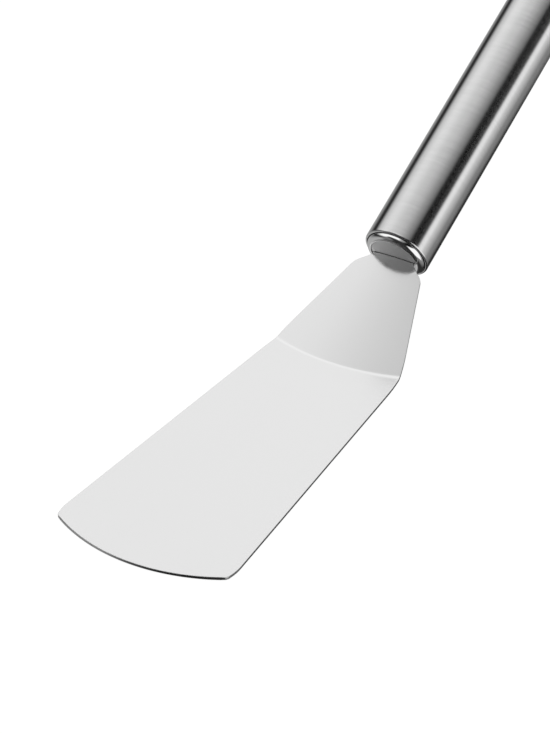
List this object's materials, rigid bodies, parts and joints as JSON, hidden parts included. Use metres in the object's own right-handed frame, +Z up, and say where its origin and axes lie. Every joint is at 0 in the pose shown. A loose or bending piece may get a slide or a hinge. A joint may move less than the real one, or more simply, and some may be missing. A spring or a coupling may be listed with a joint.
{
  "type": "kitchen turner",
  "caption": "Kitchen turner for lifting and turning food: a wide flat steel blade with an arched front edge, a cranked neck and a round hollow handle with a hanging loop.",
  "frame": {"origin": "middle of the blade's flat underside", "axes": "+Z up out of the blade's upper face, +Y from the front edge towards the handle, +X to the right seen from the front edge"},
  "size_m": [0.0636, 0.3079, 0.0863],
  "materials": {
    "blade_steel": "polished stainless steel sheet with a soft mirror",
    "satin_steel": "satin stainless steel, brushed around the tube",
    "bright_steel": "mirror polished stainless steel",
    "plate_steel": "plain matte stainless steel plate"
  },
  "bodies": {
    "root": {"blade": "blade_steel", "handle_tube": "satin_steel", "front_ferrule": "bright_steel", "upper_mouth_plate": "plate_steel", "lower_mouth_plate": "plate_steel", "tang_guide": "plate_steel", "rear_cap": "bright_steel", "hanging_loop": "bright_steel", "loop_backing_plate": "plate_steel"}
  },
  "joints": []
}
